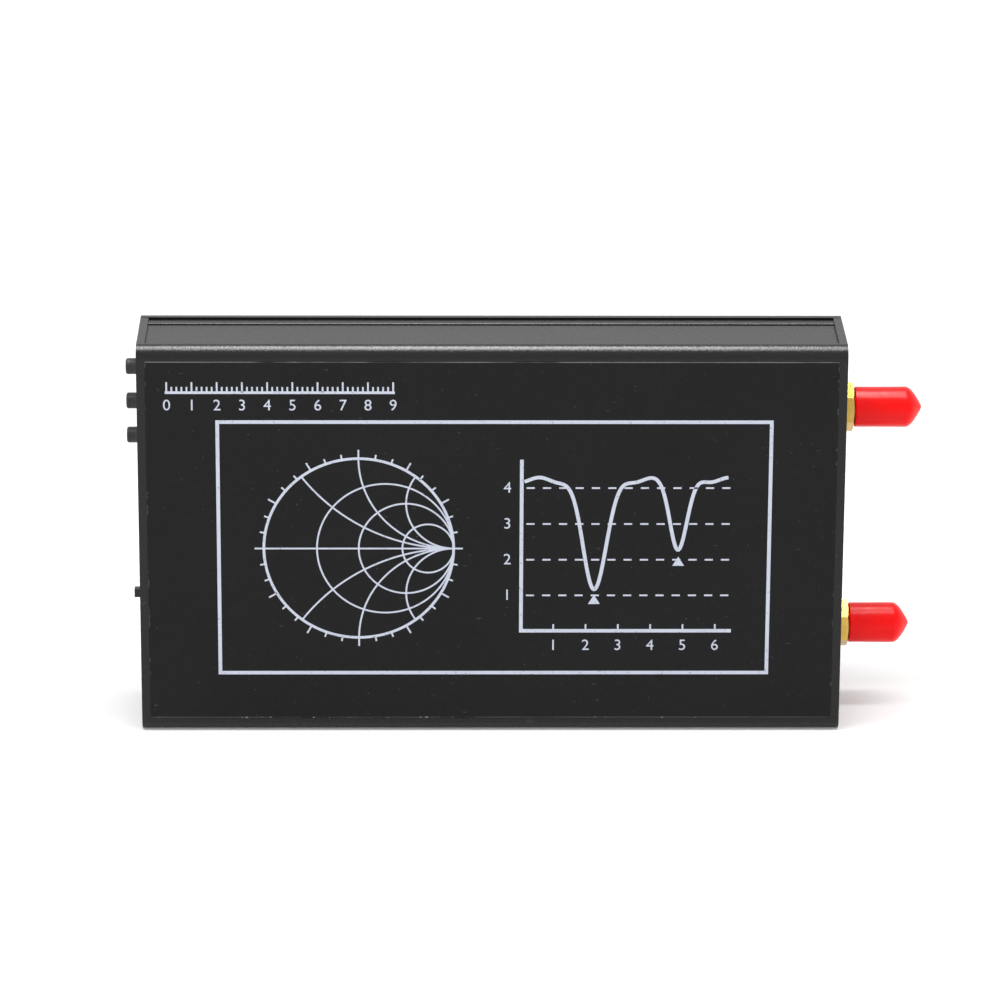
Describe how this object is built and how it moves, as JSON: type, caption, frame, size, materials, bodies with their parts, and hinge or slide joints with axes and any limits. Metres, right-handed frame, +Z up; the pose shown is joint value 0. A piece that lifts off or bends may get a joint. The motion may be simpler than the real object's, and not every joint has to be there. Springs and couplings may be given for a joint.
{
  "type": "antenna analyzer",
  "caption": "Handheld antenna analyzer in a flat black aluminium case with a touch screen, a printed back, push buttons, and threaded coaxial ports under red dust caps.",
  "frame": {"origin": "on the long edge the case stands on, at mid-length, on the seam between the two shells", "axes": "+X along the case towards the ports, +Y from the printed back to the screen, +Z up"},
  "size_m": [0.1474, 0.0221, 0.075],
  "materials": {
    "case_black": "black anodised aluminium, fine matt grain",
    "label_film": "matt black printed film",
    "screen_glass": "gloss touch panel, dark when off",
    "display_metal": "bright folded frame",
    "foam_black": "foam tape",
    "ribbon": "amber film",
    "connector_plastic": "moulded nylon",
    "board_green": "solder mask over glass fibre",
    "steel": "plated steel",
    "screw_black": "blackened steel",
    "chip_black": "moulded epoxy",
    "battery_foil": "embossed foil pouch",
    "wire_red_black": "insulated wire",
    "button_black": "moulded, satin",
    "switch_black": "moulded",
    "lamp_clear": "clear moulded lens",
    "gold_plate": "gold plated, turned",
    "insulator_white": "turned, waxy",
    "cap_red": "soft glossy vinyl"
  },
  "bodies": {
    "case": {"rear_shell": "case_black", "front_cover": "case_black", "left_end_plate": "case_black", "right_end_plate": "case_black", "left_plate_screws": "screw_black", "right_plate_screws": "screw_black", "back_label": "label_film", "touch_panel": "screen_glass", "display_module": "display_metal", "display_gasket": "foam_black", "display_pads": "foam_black", "battery_tape": "foam_black", "display_flex": "ribbon", "display_socket": "connector_plastic", "battery_plug": "connector_plastic", "battery_socket": "connector_plastic", "main_board": "board_green", "board_spacers": "steel", "board_screws": "steel", "shield_can_1": "steel", "shield_can_2": "steel", "usb_shell": "steel", "processor_chip": "chip_black", "signal_chips": "chip_black", "usb_tongue": "chip_black", "battery_cell": "battery_foil", "battery_lead": "wire_red_black", "button_switch_1": "switch_black", "button_switch_2": "switch_black", "button_switch_3": "switch_black", "power_switch_body": "switch_black", "indicator_lamps": "lamp_clear", "port_1_socket": "gold_plate", "port_1_contact": "gold_plate", "port_1_nut": "gold_plate", "port_1_washer": "gold_plate", "port_1_insulator": "insulator_white", "port_2_socket": "gold_plate", "port_2_contact": "gold_plate", "port_2_nut": "gold_plate", "port_2_washer": "gold_plate", "port_2_insulator": "insulator_white"},
    "button_1": {"button_cap_1": "button_black", "button_plunger_1": "switch_black"},
    "button_2": {"button_cap_2": "button_black", "button_plunger_2": "switch_black"},
    "button_3": {"button_cap_3": "button_black", "button_plunger_3": "switch_black"},
    "power_slider": {"power_knob": "button_black"},
    "cap_1": {"dust_cap_1": "cap_red"},
    "cap_2": {"dust_cap_2": "cap_red"}
  },
  "joints": [
    {"name": "button_1_press", "type": "slide", "parent": "case", "child": "button_1", "axis": [1, 0, 0], "range_m": [0, 0.00035], "stiffness_N_per_m": 3000},
    {"name": "button_2_press", "type": "slide", "parent": "case", "child": "button_2", "axis": [1, 0, 0], "range_m": [0, 0.00035], "stiffness_N_per_m": 3000},
    {"name": "button_3_press", "type": "slide", "parent": "case", "child": "button_3", "axis": [1, 0, 0], "range_m": [0, 0.00035], "stiffness_N_per_m": 3000},
    {"name": "power_slide", "type": "slide", "parent": "case", "child": "power_slider", "axis": [0, 0, 1], "range_m": [0, 0.002]},
    {"name": "cap_1_pull", "type": "slide", "parent": "case", "child": "cap_1", "axis": [1, 0, 0], "range_m": [0, 0.012]},
    {"name": "cap_2_pull", "type": "slide", "parent": "case", "child": "cap_2", "axis": [1, 0, 0], "range_m": [0, 0.012]}
  ]
}
